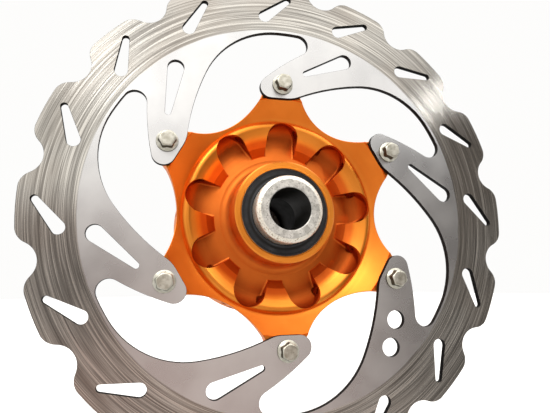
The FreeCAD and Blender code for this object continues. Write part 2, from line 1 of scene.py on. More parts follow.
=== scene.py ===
"""Looks for a front wheel brake disc bolted to its anodised hub.

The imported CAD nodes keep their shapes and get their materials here. The bolts and the seals'
garter springs are replaced by finer pieces. The floor, the world, the lights and the camera
come last. Lengths are in metres, and the axle lies along Y with the disc facing -Y.
"""

import json
import math

import bmesh
import bpy
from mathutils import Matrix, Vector


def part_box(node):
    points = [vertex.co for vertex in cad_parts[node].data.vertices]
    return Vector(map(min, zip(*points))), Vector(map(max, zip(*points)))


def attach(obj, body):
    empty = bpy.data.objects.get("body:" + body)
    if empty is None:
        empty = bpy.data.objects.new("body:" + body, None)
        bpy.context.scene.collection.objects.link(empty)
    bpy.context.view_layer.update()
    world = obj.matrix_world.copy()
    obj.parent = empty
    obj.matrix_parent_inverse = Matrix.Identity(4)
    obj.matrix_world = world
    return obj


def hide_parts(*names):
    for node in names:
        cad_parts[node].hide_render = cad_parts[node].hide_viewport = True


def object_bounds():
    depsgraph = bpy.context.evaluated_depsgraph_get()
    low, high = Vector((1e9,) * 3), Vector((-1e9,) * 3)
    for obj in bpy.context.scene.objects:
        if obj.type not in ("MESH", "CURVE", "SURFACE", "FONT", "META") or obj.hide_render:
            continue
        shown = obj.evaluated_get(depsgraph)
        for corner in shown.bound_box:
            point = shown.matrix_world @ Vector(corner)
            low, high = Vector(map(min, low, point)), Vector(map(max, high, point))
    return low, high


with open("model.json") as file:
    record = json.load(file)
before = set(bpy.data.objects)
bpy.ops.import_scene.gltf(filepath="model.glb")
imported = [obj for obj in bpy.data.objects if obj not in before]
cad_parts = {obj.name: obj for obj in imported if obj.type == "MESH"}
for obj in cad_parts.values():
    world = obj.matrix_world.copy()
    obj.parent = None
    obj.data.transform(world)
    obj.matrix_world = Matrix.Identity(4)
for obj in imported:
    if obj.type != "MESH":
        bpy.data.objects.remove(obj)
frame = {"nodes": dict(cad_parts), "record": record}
cad_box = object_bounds()

MM = 0.001


# ---------------------------------------------------------------- shader building

class Shader:
    """One node tree. Each method adds nodes and returns the socket that carries the result."""

    def __init__(self, name, constants):
        """A new material, with constants on the surface's own sockets."""
        self.material = bpy.data.materials.new(name)
        self.material.use_nodes = True
        self.tree = self.material.node_tree
        self.tree.nodes.clear()
        output = self.tree.nodes.new("ShaderNodeOutputMaterial")
        self.surface = self.tree.nodes.new("ShaderNodeBsdfPrincipled")
        self.tree.links.new(self.surface.outputs[0], output.inputs[0])
        for socket, value in constants.items():
            self.surface.inputs[socket].default_value = value

    @classmethod
    def of_tree(cls, tree):
        """The same helper on a tree that isn't a material's, emptied first."""
        shader = cls.__new__(cls)
        shader.tree = tree
        tree.nodes.clear()
        return shader

    def node(self, kind, inputs=(), **settings):
        node = self.tree.nodes.new(kind)
        for name, value in settings.items():
            setattr(node, name, value)
        for key, value in dict(inputs).items():
            self.feed(node.inputs[key], value)
        return node

    def feed(self, socket, value):
        """Link a socket to another, or set its value."""
        if isinstance(value, bpy.types.NodeSocket):
            self.tree.links.new(value, socket)
        else:
            socket.default_value = value

    def drive(self, name, value):
        """Feed one of the surface's own sockets with something that varies over it."""
        self.feed(self.surface.inputs[name], value)

    def math(self, operation, *values):
        inputs = {i: value for i, value in enumerate(values)}
        return self.node("ShaderNodeMath", inputs, operation=operation).outputs[0]

    def add(self, a, b):
        return self.math("ADD", a, b)

    def times(self, a, b):
        return self.math("MULTIPLY", a, b)

    def ramp(self, value, low, high, out_low=0.0, out_high=1.0):
        """Smooth step of a value from low to high."""
        inputs = {0: value, 1: low, 2: high, 3: out_low, 4: out_high}
        node = self.node("ShaderNodeMapRange", inputs, interpolation_type="SMOOTHSTEP")
        return node.outputs[0]

    def fade(self, value, low, high):
        """Smooth step down: 1 below low and 0 above high."""
        return self.ramp(value, low, high, 1.0, 0.0)

    def band(self, value, low, high, soft):
        """1 between low and high, with soft ends."""
        rise = self.ramp(value, low - soft, low + soft)
        fall = self.fade(value, high - soft, high + soft)
        return self.times(rise, fall)

    def mix(self, amount, a, b, share=1.0):
        """Mix of two colours, by an amount that is first scaled to a share of itself."""
        node = self.node("ShaderNodeMix", data_type="RGBA")
        self.feed(node.inputs[0], amount if share == 1.0 else self.times(amount, share))
        self.feed(node.inputs[6], a)
        self.feed(node.inputs[7], b)
        return node.outputs[2]

    def mottle(self, cloud, dark, light):
        """Two colours in soft patches that follow a noise."""
        return self.mix(self.ramp(cloud, 0.3, 0.7), dark, light)

    def blend(self, amount, a, b):
        """Mix of two numbers."""
        node = self.node("ShaderNodeMix", data_type="FLOAT")
        self.feed(node.inputs[0], amount)
        self.feed(node.inputs[2], a)
        self.feed(node.inputs[3], b)
        return node.outputs[0]

    def place(self):
        """Position in the row frame, which rides with the piece."""
        return self.node("ShaderNodeTexCoord").outputs["Object"]

    def parts(self, vector):
        return self.node("ShaderNodeSeparateXYZ", {0: vector}).outputs

    def vector(self, operation, a, b, output=0):
        node = self.node("ShaderNodeVectorMath", {0: a, 1: b}, operation=operation)
        return node.outputs[output]

    def scaled(self, vector, factor):
        inputs = {0: vector, "Scale": factor}
        return self.node("ShaderNodeVectorMath", inputs, operation="SCALE").outputs[0]

    def around(self):
        """Radius from the axle, and the direction of that radius."""
        flat = self.vector("MULTIPLY", self.place(), (1.0, 0.0, 1.0))
        length = self.node("ShaderNodeVectorMath", {0: flat}, operation="LENGTH")
        way = self.node("ShaderNodeVectorMath", {0: flat}, operation="NORMALIZE")
        return length.outputs["Value"], way.outputs[0]

    def noise(self, vector, scale, detail=2.0, roughness=0.5):
        inputs = {"Vector": vector, "Scale": scale, "Detail": detail, "Roughness": roughness}
        return self.node("ShaderNodeTexNoise", inputs).outputs[0]

    def grooves(self, radius, way, per_metre, wander, detail=2.0):
        """Noise in rings: fast across the radius and slow along the turn."""
        across = self.node("ShaderNodeCombineXYZ", {1: self.times(radius, per_metre)})
        return self.noise(self.vector("ADD", self.scaled(way, wander), across.outputs[0]), 1.0, detail)

    def facing(self):
        """How squarely the surface faces along the axle, from 0 to 1."""
        normal = self.node("ShaderNodeTexCoord").outputs["Normal"]
        return self.math("ABSOLUTE", self.parts(normal)[1])

    def turned(self):
        """Tangent of a surface turned about the axle, for the streaks of its highlights."""
        tangent = self.node("ShaderNodeTangent", direction_type="RADIAL", axis="Y")
        self.drive("Tangent", tangent.outputs[0])

    def bump(self, height, distance, strength=1.0, edge_break=0.0):
        """Bump from a height, over edges softened as a machined edge break softens them."""
        inputs = {"Strength": strength, "Distance": distance, "Height": height}
        if edge_break:
            bevel = self.node("ShaderNodeBevel", {"Radius": edge_break}, samples=6)
            inputs["Normal"] = bevel.outputs[0]
        self.drive("Normal", self.node("ShaderNodeBump", inputs).outputs[0])


def rgb(red, green, blue):
    return (red, green, blue, 1.0)


# ---------------------------------------------------------------- disc

RADIAL_STREAKS = 0.25  # anisotropic rotation that turns highlights into spokes of light
PAD_TRACK_INNER = 103.0 * MM
TRACK_EDGE_WOBBLE = 0.8 * MM
TRACK_EDGE_SOFT = 1.0 * MM
TRACK_DARK = rgb(0.27, 0.26, 0.24)
TRACK_LIGHT = rgb(0.58, 0.56, 0.52)
TRACK_STAIN = rgb(0.42, 0.35, 0.29)
TRACK_SCORE = rgb(0.17, 0.155, 0.14)
TRACK_LINE = rgb(0.86, 0.83, 0.77)
ARM_DARK = rgb(0.66, 0.66, 0.665)
ARM_LIGHT = rgb(0.76, 0.76, 0.76)
CUT_EDGE = rgb(0.020, 0.019, 0.018)
CUT_EDGE_ROUGHNESS = 0.62
ARM_ROUGHNESS = (0.26, 0.31)
TRACK_ROUGHNESS = (0.19, 0.26)
ARM_STREAKING = 0.45
TRACK_STREAKING = 0.93
DISC_RELIEF = 0.02 * MM


def disc_steel():
    """Ground stainless steel: satin arms, a scored pad track, dark cut edges."""
    s = Shader("disc_steel", {"Metallic": 1.0, "Anisotropic Rotation": RADIAL_STREAKS})
    radius, way = s.around()
    place = s.place()
    edge = s.add(radius, s.times(s.noise(place, scale=60.0, detail=1.0), TRACK_EDGE_WOBBLE))
    track = s.ramp(edge, PAD_TRACK_INNER, PAD_TRACK_INNER + TRACK_EDGE_SOFT)
    fine = s.grooves(radius, way, per_metre=2600.0, wander=3.0, detail=3.0)
    broad = s.grooves(radius, way, per_metre=420.0, wander=1.1)
    lines = s.ramp(s.grooves(radius, way, per_metre=1500.0, wander=1.6, detail=1.0), 0.56, 0.63)
    scores = s.fade(s.grooves(radius, way, per_metre=1250.0, wander=2.3, detail=1.0), 0.38, 0.44)
    grain = s.grooves(radius, way, per_metre=5200.0, wander=1.4)
    cloud = s.noise(place, scale=38.0, detail=3.0)
    stain = s.ramp(s.noise(place, scale=16.0, detail=3.0, roughness=0.6), 0.42, 0.62)

    tone = s.add(s.times(fine, 0.75), s.times(broad, 0.40))
    worn = s.mix(s.ramp(tone, 0.42, 0.74), TRACK_DARK, TRACK_LIGHT)
    worn = s.mix(stain, worn, TRACK_STAIN, share=0.25)
    worn = s.mix(scores, worn, TRACK_SCORE, share=0.50)
    worn = s.mix(lines, worn, TRACK_LINE, share=0.60)
    colour = s.mix(track, s.mottle(cloud, ARM_DARK, ARM_LIGHT), worn)
    face = s.ramp(s.facing(), 0.80, 0.95)
    s.drive("Base Color", s.mix(face, CUT_EDGE, colour))

    arm_gloss = s.ramp(cloud, 0.3, 0.7, *ARM_ROUGHNESS)
    track_gloss = s.ramp(fine, 0.25, 0.75, *TRACK_ROUGHNESS)
    s.drive("Roughness", s.blend(face, CUT_EDGE_ROUGHNESS, s.blend(track, arm_gloss, track_gloss)))
    s.drive("Anisotropic", s.blend(track, ARM_STREAKING, TRACK_STREAKING))
    s.turned()
    track_height = s.add(s.times(fine, 0.6), s.times(s.add(lines, scores), -0.4))
    s.bump(s.blend(track, s.times(grain, 0.10), track_height), DISC_RELIEF, 0.6)
    return s.material


# ---------------------------------------------------------------- hub

# Radii from the axle, and depths behind the disc's mounting plane. A pair is where a zone or a
# change of colour starts and where it ends.
BOSS_RIM = (25.8 * MM, 28.0 * MM)
BOSS_WALL = (26.9 * MM, 28.2 * MM)
BOSS_WALL_DEPTH = (-4.6 * MM, -3.6 * MM)
HOLLOW = (27.6 * MM, 52.9 * MM)
HOLLOW_DEPTH = (8.6 * MM, 10.4 * MM)
TOOLED = (36.0 * MM, 46.5 * MM)
FLANGE_START = (52.0 * MM, 56.0 * MM)
# The lands between the scallops rise outwards along a line. What lies under that line, as depth
# plus LAND_CLIMB times radius, is in a scallop. LAND_FOOT is their steep inner slope.
LAND_FOOT = (35.6 * MM, 39.9 * MM)
LAND_FOOT_DEPTH = (15.2 * MM, 15.7 * MM)
LAND_CLIMB = 0.72
UNDER_LAND = (41.8 * MM, 43.2 * MM)
# The scallops' painted shade grows across SCALLOP_FADE, towards their outer ends.
SCALLOP_FADE = (35.5 * MM, 46.0 * MM)

HUB_BRIGHT = (rgb(0.90, 0.29, 0.036), rgb(0.96, 0.33, 0.046))
HUB_MILLED_AND_SHADE = (rgb(0.66, 0.150, 0.022), rgb(0.76, 0.185, 0.028))
HUB_FLANGE = (rgb(0.78, 0.200, 0.024), rgb(0.86, 0.235, 0.030))
HUB_SHADED = (rgb(0.42, 0.080, 0.012), rgb(0.50, 0.102, 0.015))
BOSS_WALL_HIGHLIGHT = rgb(0.93, 0.37, 0.075)
BARE_ALUMINIUM = rgb(0.80, 0.74, 0.66)
HUB_ROUGHNESS = (0.30, 0.40)
MILLED_ROUGHER = 0.12
TURNED_STREAKING = 0.6
MILLED_STREAKING = 0.1
TOOLING_DEPTH = 4.0  # in units of HUB_RELIEF
HUB_RELIEF = 0.012 * MM


def hub_anodised():
    """Turned aluminium under orange anodising, more matt where milled, with painted shade in its
    hollows and a painted highlight on the boss.
    """
    s = Shader("hub_anodised", {"Metallic": 1.0, "Anisotropic Rotation": RADIAL_STREAKS})
    radius, way = s.around()
    place = s.place()
    depth = s.parts(place)[1]
    cloud = s.noise(place, scale=55.0, detail=3.0)
    fine = s.grooves(radius, way, per_metre=2400.0, wander=1.2)

    milled = s.times(s.band(radius, *HOLLOW, 0.3 * MM), s.ramp(depth, *HOLLOW_DEPTH))
    under_land = s.ramp(s.add(depth, s.times(radius, LAND_CLIMB)), *UNDER_LAND)
    scallop_shade = s.times(s.times(milled, under_land), s.ramp(radius, *SCALLOP_FADE))
    land_foot_shade = s.times(s.band(radius, *LAND_FOOT, 0.2 * MM), s.fade(depth, *LAND_FOOT_DEPTH))
    land_foot_shade = s.times(milled, land_foot_shade)
    # Painted highlight: a lighter, yellower colour on the boss's outer wall.
    boss_highlight = s.times(s.band(radius, *BOSS_WALL, 0.9 * MM), s.ramp(depth, *BOSS_WALL_DEPTH))

    shaded = s.mottle(cloud, *HUB_SHADED)
    # The milled hollow is darker, partly from the milled anodising's own tone and partly from painted
    # shade of the recess.
    colour = s.mix(milled, s.mottle(cloud, *HUB_BRIGHT), s.mottle(cloud, *HUB_MILLED_AND_SHADE))
    # Painted shade: the scallops darken towards their outer ends, and the lands' steep inner feet
    # darken too.
    colour = s.mix(scallop_shade, colour, shaded)
    colour = s.mix(land_foot_shade, colour, shaded, share=0.9)
    colour = s.mix(boss_highlight, colour, BOSS_WALL_HIGHLIGHT)
    colour = s.mix(s.ramp(radius, *FLANGE_START), colour, s.mottle(cloud, *HUB_FLANGE))
    nicks = s.noise(s.vector("MULTIPLY", place, (1.0, 1.0, 2.2)), scale=420.0)
    wear = s.times(s.ramp(nicks, 0.71, 0.74), s.band(radius, *BOSS_RIM, 0.4 * MM))
    s.drive("Base Color", s.mix(wear, colour, BARE_ALUMINIUM))

    s.drive("Roughness", s.add(s.ramp(fine, 0.2, 0.8, *HUB_ROUGHNESS), s.times(milled, MILLED_ROUGHER)))
    s.drive("Anisotropic", s.blend(milled, TURNED_STREAKING, MILLED_STREAKING))
    s.turned()
    height = s.add(s.times(fine, 0.7), s.times(s.noise(place, scale=900.0), 0.5))
    marks = s.grooves(radius, way, per_metre=1200.0, wander=0.6, detail=1.0)
    tooling = s.times(s.band(radius, *TOOLED, 0.5 * MM), marks)
    s.bump(s.add(height, s.times(tooling, TOOLING_DEPTH)), HUB_RELIEF, 0.7)
    return s.material


# ---------------------------------------------------------------- bolts, collars and seals

PLATE_DARK = rgb(0.46, 0.44, 0.36)
PLATE_LIGHT = rgb(0.70, 0.68, 0.60)
# Painted shade for the bolts' faces that don't face along the axle.
PLATE_SIDE_SHADE = rgb(0.085, 0.07, 0.045)
BOLT_RUST = rgb(0.24, 0.18, 0.12)
PLATE_ROUGHNESS = (0.34, 0.46)
RUST_ROUGHER = 0.2
PLATE_RELIEF = 0.05 * MM


def bolt_steel():
    """Plated steel, a little yellow, with painted shade on the hexagon's sides and traces of rust."""
    s = Shader("bolt_steel", {"Metallic": 1.0})
    place = s.place()
    cloud = s.noise(place, scale=420.0, detail=3.0, roughness=0.6)
    rust = s.ramp(s.noise(place, scale=650.0, detail=4.0, roughness=0.7), 0.60, 0.72)
    # Painted shade: the hexagon's sides, the flange's rim and the thread are made dark.
    flat = s.ramp(s.facing(), 0.35, 0.75)
    plate = s.mix(flat, PLATE_SIDE_SHADE, s.mottle(cloud, PLATE_DARK, PLATE_LIGHT))
    s.drive("Base Color", s.mix(rust, plate, BOLT_RUST, share=0.6))
    s.drive("Roughness", s.add(s.ramp(cloud, 0.2, 0.8, *PLATE_ROUGHNESS), s.times(rust, RUST_ROUGHER)))
    s.bump(s.add(cloud, s.noise(place, scale=1600.0)), PLATE_RELIEF, 0.6)
    return s.material


COLLAR_BORE = (11.15 * MM, 11.3 * MM)
COLLAR_BEVEL = (15.2 * MM, 15.5 * MM)
COLLAR_EDGE_BREAK = 0.25 * MM
COLLAR_DARK = rgb(0.54, 0.53, 0.49)
COLLAR_LIGHT = rgb(0.78, 0.76, 0.71)
COLLAR_SPECK = rgb(0.38, 0.36, 0.33)
BEVEL_HIGHLIGHT = rgb(0.98, 0.93, 0.82)
CREAM_SPECK = rgb(0.52, 0.44, 0.34)
COLLAR_RUST = rgb(0.30, 0.18, 0.10)
COLLAR_BORE_SHADE = rgb(0.05, 0.045, 0.04)
COLLAR_ROUGHNESS = (0.38, 0.55)
COLLAR_RELIEF = 0.04 * MM


def collar_steel():
    """Turned steel, dull and knocked about, with a painted highlight on its bevel and painted shade in
    its bore.
    """
    s = Shader("collar_steel", {"Metallic": 1.0, "Anisotropic": 0.3,
                                "Anisotropic Rotation": RADIAL_STREAKS})
    radius, way = s.around()
    place = s.place()
    cloud = s.noise(place, scale=300.0, detail=4.0, roughness=0.6)
    speck = s.noise(place, scale=1100.0, detail=3.0, roughness=0.6)
    fine = s.grooves(radius, way, per_metre=3200.0, wander=2.0)
    face = s.mix(s.ramp(cloud, 0.35, 0.65), COLLAR_DARK, COLLAR_LIGHT)
    face = s.mix(s.ramp(speck, 0.54, 0.68), face, COLLAR_SPECK)
    # Painted highlight: the bevel is painted a pale cream, with darker pits in it.
    bevel_highlight = s.mix(s.ramp(speck, 0.50, 0.68), BEVEL_HIGHLIGHT, CREAM_SPECK)
    steel = s.mix(s.ramp(radius, *COLLAR_BEVEL), face, bevel_highlight)
    rust = s.ramp(s.noise(place, scale=160.0, detail=5.0, roughness=0.65), 0.60, 0.70)
    steel = s.mix(rust, steel, COLLAR_RUST, share=0.6)
    # Painted shade: the bore's wall is made nearly black.
    bore = s.times(s.fade(radius, *COLLAR_BORE), s.fade(s.facing(), 0.3, 0.6))
    s.drive("Base Color", s.mix(bore, steel, COLLAR_BORE_SHADE, share=0.9))
    s.drive("Roughness", s.ramp(cloud, 0.2, 0.8, *COLLAR_ROUGHNESS))
    s.turned()
    s.bump(s.add(s.times(fine, 0.3), speck), COLLAR_RELIEF, 0.7, COLLAR_EDGE_BREAK)
    return s.material


SEAL_LIP = (19.0 * MM, 20.3 * MM)
SEAL_GROOVE = (22.4 * MM, 22.75 * MM)
SEAL_CASE = (23.0 * MM, 23.2 * MM)
SEAL_DARK = rgb(0.014, 0.015, 0.018)
SEAL_DUST = rgb(0.036, 0.038, 0.042)
LIP_GAP_SHADE = rgb(0.004, 0.004, 0.004)
GROOVE_SHADE = rgb(0.006, 0.006, 0.006)
CASE_GREY_AND_HIGHLIGHT = rgb(0.17, 0.17, 0.16)
SEAL_ROUGHNESS = (0.50, 0.72)
SEAL_RELIEF = 0.02 * MM


def seal_rubber():
    """Charcoal rubber, dusty in places, with painted shade at its lip and groove, and its steel case's
    rim grey with a painted highlight.
    """
    s = Shader("seal_rubber", {"Specular IOR Level": 0.3})
    place = s.place()
    radius = s.around()[0]
    dust = s.ramp(s.noise(place, scale=180.0, detail=5.0, roughness=0.65), 0.45, 0.75)
    rubber = s.mix(dust, SEAL_DARK, SEAL_DUST)
    # Painted shade: a black ring at the lip, in the gap against the collar.
    rubber = s.mix(s.band(radius, *SEAL_LIP, 0.25 * MM), rubber, LIP_GAP_SHADE)
    # Painted shade: a black ring where a groove runs.
    rubber = s.mix(s.band(radius, *SEAL_GROOVE, 0.12 * MM), rubber, GROOVE_SHADE)
    # The outer grey ring is the steel case, made lighter as a painted highlight of its rim.
    s.drive("Base Color", s.mix(s.ramp(radius, *SEAL_CASE), rubber, CASE_GREY_AND_HIGHLIGHT))
    s.drive("Roughness", s.ramp(dust, 0.0, 1.0, *SEAL_ROUGHNESS))
    s.bump(s.noise(place, scale=1500.0, detail=3.0), SEAL_RELIEF, 0.5)
    return s.material


# ---------------------------------------------------------------- pieces inside the hub

TUBE_SKIN = (15.2 * MM, 15.6 * MM)
TUBE_BARE = (rgb(0.66, 0.66, 0.68), rgb(0.76, 0.76, 0.78))
TUBE_BORE_SHADE = (rgb(0.012, 0.011, 0.010), rgb(0.030, 0.028, 0.025))
SHIELD_DARK = rgb(0.010, 0.010, 0.011)
SHIELD_LIGHT = rgb(0.03, 0.03, 0.03)
TUBE_ROUGHNESS = (0.28, 0.40)
BORE_ROUGHER = 0.3
SHIELD_ROUGHNESS = (0.42, 0.60)
TURNED_RELIEF = 0.008 * MM
SHIELD_RELIEF = 0.01 * MM


def tube_aluminium():
    """Plain tube, with painted shade on its bore."""
    s = Shader("tube_aluminium", {"Metallic": 1.0})
    radius, way = s.around()
    cloud = s.noise(s.place(), scale=240.0, detail=3.0)
    outside = s.ramp(radius, *TUBE_SKIN)
    # Painted shade: the bore is made nearly black.
    s.drive("Base Color", s.mix(outside, s.mix(cloud, *TUBE_BORE_SHADE), s.mix(cloud, *TUBE_BARE)))
    bore_rough = s.ramp(outside, 0.0, 1.0, BORE_ROUGHER, 0.0)
    s.drive("Roughness", s.add(s.ramp(cloud, 0.2, 0.8, *TUBE_ROUGHNESS), bore_rough))
    s.bump(s.grooves(radius, way, per_metre=6000.0, wander=1.5), TURNED_RELIEF, 0.5)
    return s.material


def shield_rubber():
    """Black moulded rubber of the bearings' shields."""
    s = Shader("shield_rubber", {"Specular IOR Level": 0.4})
    cloud = s.noise(s.place(), scale=400.0, detail=4.0)
    s.drive("Base Color", s.mix(cloud, SHIELD_DARK, SHIELD_LIGHT))
    s.drive("Roughness", s.ramp(cloud, 0.2, 0.8, *SHIELD_ROUGHNESS))
    s.bump(cloud, SHIELD_RELIEF, 0.5)
    return s.material


def plain_metal(name, dark, light, smoothest, roughest):
    """Turned metal whose tone and gloss vary a little."""
    s = Shader(name, {"Metallic": 1.0})
    radius, way = s.around()
    cloud = s.noise(s.place(), scale=500.0, detail=3.0)
    fine = s.grooves(radius, way, per_metre=6000.0, wander=1.5)
    s.drive("Base Color", s.mix(cloud, dark, light))
    s.drive("Roughness", s.ramp(fine, 0.2, 0.8, smoothest, roughest))
    s.bump(fine, TURNED_RELIEF, 0.5)
    return s.material


PLAIN_METALS = [
    ("spring_steel", rgb(0.35, 0.35, 0.36), rgb(0.50, 0.50, 0.50), 0.25, 0.40),
    ("race_steel", rgb(0.60, 0.60, 0.62), rgb(0.68, 0.68, 0.70), 0.12, 0.22),
    ("ball_steel", rgb(0.75, 0.75, 0.76), rgb(0.80, 0.80, 0.81), 0.04, 0.09),
    ("cage_steel", rgb(0.45, 0.44, 0.42), rgb(0.58, 0.57, 0.54), 0.30, 0.42),
]

MATERIALS = {
    "disc_steel": disc_steel(),
    "hub_anodised": hub_anodised(),
    "bolt_steel": bolt_steel(),
    "collar_steel": collar_steel(),
    "seal_rubber": seal_rubber(),
    "shield_rubber": shield_rubber(),
    "tube_aluminium": tube_aluminium(),
}
for metal in PLAIN_METALS:
    MATERIALS[metal[0]] = plain_metal(*metal)


def paint_nodes():
    """Give each CAD node the material of its slot in the record."""
    for subpart in frame["record"]["subparts"]:
        node = frame["nodes"][subpart["node"]]
        node.data.materials.clear()
        node.data.materials.append(MATERIALS[subpart["material_slot"]])


SHARP_EDGE_DEG = 35


def finish_piece(mesh, name, slot, node):
    """Make a piece that turns with the hub and stands for a CAD node."""
    for polygon in mesh.polygons:
        polygon.use_smooth = True
    mesh.set_sharp_from_angle(angle=math.radians(SHARP_EDGE_DEG))
    mesh.materials.append(MATERIALS[slot])
    piece = bpy.data.objects.new(name, mesh)
    bpy.context.scene.collection.objects.link(piece)
    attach(piece, "hub")
    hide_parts(node)


# ---------------------------------------------------------------- finer bolts

BOLT_CIRCLE = 71.0 * MM
FIRST_BOLT_DEG = 30
BOLT_SPACING_DEG = 60
BOLT_TURNS_DEG = (8.0, 21.0, 31.0, 14.0, 2.0, 17.0)
BOLT_BASE = -3.0 * MM
BOLT_SIDES = 96

# Radius and height of each round ring of the head, in mm above its washer face.
FLANGE_OUTLINE = [(5.50, 0.0), (5.62, 0.06), (5.66, 0.18), (5.66, 0.62), (5.62, 0.76), (5.50, 0.84)]
TOP_OUTLINE = [(3.66, 5.58), (3.50, 5.6), (2.4, 5.6), (1.2, 5.6)]

HEX_FLATS_HALF = 4.0 * MM
HEX_CORNER_CUT = 0.13 * MM
HEX_FOOT_SPREAD = 0.22 * MM
HEX_FOOT_HEIGHT = 1.62 * MM
HEX_FOOT_FALL = 0.5
HEX_START = 1.9 * MM
HEX_TOP = 5.6 * MM
HEX_TOP_LAND = 3.75 * MM
HEX_TOP_FALL = 0.62
HEX_BREAK_WIDTH = 0.1 * MM
HEX_BREAK_DROPS = (0.22 * MM, 0.05 * MM)

SHANK_LENGTH = 12.5 * MM
THREAD_RADIUS = 2.99 * MM  # just inside the CAD shank
THREAD_PITCH = 1.0 * MM
THREAD_DEPTH = 0.55 * MM
THREAD_STEPS = 8


def hex_radius(angle):
    """Radius of the hexagon at an angle, with its corners a little rounded."""
    sector = math.pi / 3
    off_flat = (angle + sector / 2) % sector - sector / 2
    sharp = HEX_FLATS_HALF / math.cos(off_flat)
    corner = HEX_FLATS_HALF / math.cos(sector / 2) - HEX_CORNER_CUT
    return min(sharp, corner)


def round_ring(radius, height):
    return lambda angle: (radius * MM, height * MM)


def hex_ring(height, spread=0.0, fall=0.0, level=0.0):
    """Ring along the hexagon, spread outwards, that falls where the hexagon passes a level radius."""
    def ring(angle):
        radius = hex_radius(angle)
        return radius + spread, height - fall * (radius - level)
    return ring


def head_rings():
    """Rings of the bolt's head, from its washer face to the middle of its flat top."""
    yield from (round_ring(*point) for point in FLANGE_OUTLINE)
    yield hex_ring(HEX_FOOT_HEIGHT, HEX_FOOT_SPREAD, HEX_FOOT_FALL, HEX_FLATS_HALF)
    yield hex_ring(HEX_START)
    for spread, drop in zip((0.0, -HEX_BREAK_WIDTH), HEX_BREAK_DROPS):
        yield hex_ring(HEX_TOP - drop, spread, HEX_TOP_FALL, HEX_TOP_LAND)
    yield from (round_ring(*point) for point in TOP_OUTLINE)


def shank_rings():
    """Rings of the bolt's threaded shank, from its tip up to the head."""
    count = round(SHANK_LENGTH / THREAD_PITCH * THREAD_STEPS)
    for step in range(count + 1):
        height = -SHANK_LENGTH + step * THREAD_PITCH / THREAD_STEPS
        taper = min(1.0, step / THREAD_STEPS)

        def ring(angle, h=height, t=taper):
            turn = (h / THREAD_PITCH - angle / (2 * math.pi)) % 1.0
            groove = 1.0 - abs(2.0 * turn - 1.0)
            return THREAD_RADIUS - THREAD_DEPTH * max(groove, 1.0 - t), h
        yield ring


def bolt_mesh(mesh, centre, turn):
    """A flanged hexagon bolt whose head faces -Y, standing on the disc at a point."""
    build = bmesh.new()
    loops = []
    for ring in [*shank_rings(), *head_rings()]:
        loop = []
        for i in range(BOLT_SIDES):
            angle = 2 * math.pi * i / BOLT_SIDES
            radius, height = ring(angle)
            across = (radius * math.cos(angle + turn), -height, radius * math.sin(angle + turn))
            loop.append(build.verts.new(centre + Vector(across)))
        loops.append(loop)
    for low, high in zip(loops, loops[1:]):
        for i in range(BOLT_SIDES):
            j = (i + 1) % BOLT_SIDES
            build.faces.new((low[i], low[j], high[j], high[i]))
    build.faces.new(loops[0])
    build.faces.new(loops[-1])
    bmesh.ops.recalc_face_normals(build, faces=build.faces)
    build.to_mesh(mesh)
    build.free()


def bolts():
    for i, turn_deg in enumerate(BOLT_TURNS_DEG):
        way = math.radians(FIRST_BOLT_DEG + BOLT_SPACING_DEG * i)
        centre = Vector((BOLT_CIRCLE * math.cos(way), BOLT_BASE, BOLT_CIRCLE * math.sin(way)))
        node = f"disc_bolt_{i + 1}"
        mesh = bpy.data.meshes.new(node + "_fine")
        bolt_mesh(mesh, centre, math.radians(turn_deg))
        finish_piece(mesh, node + "_fine", "bolt_steel", node)


# ---------------------------------------------------------------- garter springs

COIL_TURNS = 260
COIL_STEPS = 10
COIL_WIRE_RADIUS = 0.17 * MM
COIL_WIRE_SIDES = 6


def coil_mesh(mesh, ring_radius, coil_radius, height):
    """A fine coil of wire, closed into a ring about the axle."""
    steps = COIL_TURNS * COIL_STEPS
    verts = []
    for i in range(steps):
        around = 2 * math.pi * i / steps
        out = Vector((math.cos(around), 0.0, math.sin(around)))
        along = Vector((-math.sin(around), 0.0, math.cos(around)))
        turn = 2 * math.pi * i / COIL_STEPS
        spoke = out * math.cos(turn) + Vector((0.0, 1.0, 0.0)) * math.sin(turn)
        centre = out * ring_radius + Vector((0.0, height, 0.0)) + spoke * coil_radius
        for k in range(COIL_WIRE_SIDES):
            side = 2 * math.pi * k / COIL_WIRE_SIDES
            verts.append(centre + (spoke * math.cos(side) + along * math.sin(side)) * COIL_WIRE_RADIUS)
    faces = []
    for i in range(steps):
        low = i * COIL_WIRE_SIDES
        high = (i + 1) % steps * COIL_WIRE_SIDES
        for k in range(COIL_WIRE_SIDES):
            m = (k + 1) % COIL_WIRE_SIDES
            faces.append((low + k, low + m, high + m, high + k))
    mesh.from_pydata(verts, [], faces)


def garter_springs():
    for side in ("brake_side", "plain_side"):
        node = side + "_seal_spring"
        low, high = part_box(node)
        height = (low[1] + high[1]) / 2
        wire_radius = (high[1] - low[1]) / 2
        mesh = bpy.data.meshes.new(node + "_coil")
        coil_mesh(mesh, high[0] - wire_radius, wire_radius - COIL_WIRE_RADIUS, height)
        finish_piece(mesh, node + "_coil", "spring_steel", node)


# ---------------------------------------------------------------- floor, light and camera

FLOOR_HALF_WIDTH = 3.0
FLOOR_FRONT = -0.30
FLOOR_BACK = 6.0
FLOOR_DARK = rgb(0.94, 0.935, 0.925)
FLOOR_LIGHT = rgb(0.96, 0.955, 0.945)


